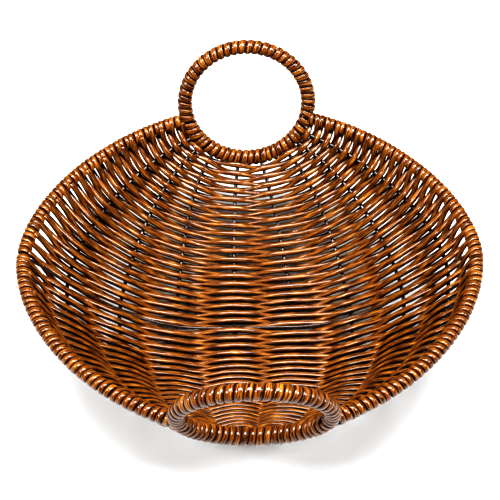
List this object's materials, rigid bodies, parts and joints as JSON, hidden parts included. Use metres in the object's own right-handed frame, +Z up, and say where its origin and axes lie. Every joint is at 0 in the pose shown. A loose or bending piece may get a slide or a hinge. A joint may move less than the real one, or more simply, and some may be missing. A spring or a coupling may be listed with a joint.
{
  "type": "bread basket",
  "caption": "Shallow oval basket of glossy brown strand woven over a dark wire frame, with a strand-wrapped ring handle standing up at each end",
  "frame": {"origin": "on the surface the basket stands on, under the middle of its bounding box", "axes": "+X to the right across the bowl's longest width, +Y from the front handle to the back handle, +Z up"},
  "size_m": [0.3606, 0.3468, 0.1774],
  "materials": {
    "wire": "dark semi-gloss paint on drawn steel wire",
    "strand": "satin extruded plastic rattan, caramel brown with fine darker streaks along its length"
  },
  "bodies": {
    "root": {"handle_ring_back": "wire", "handle_ring_front": "wire", "rim_wire_left": "wire", "rim_wire_right": "wire", "rib_wire_1": "wire", "rib_wire_2": "wire", "rib_wire_3": "wire", "rib_wire_4": "wire", "rib_wire_5": "wire", "rib_wire_6": "wire", "rib_wire_7": "wire", "rib_wire_8": "wire", "cross_wire": "wire", "handle_winding_back": "strand", "handle_winding_front": "strand", "weft_strand_01": "strand", "weft_strand_02": "strand", "weft_strand_03": "strand", "weft_strand_04": "strand", "weft_strand_05": "strand", "weft_strand_06": "strand", "weft_strand_07": "strand", "weft_strand_08": "strand", "weft_strand_09": "strand", "weft_strand_10": "strand", "weft_strand_11": "strand", "weft_strand_12": "strand", "weft_strand_13": "strand", "weft_strand_14": "strand", "weft_strand_15": "strand", "weft_strand_16": "strand", "weft_strand_17": "strand", "weft_strand_18": "strand", "weft_strand_19": "strand", "weft_strand_20": "strand"}
  },
  "joints": []
}
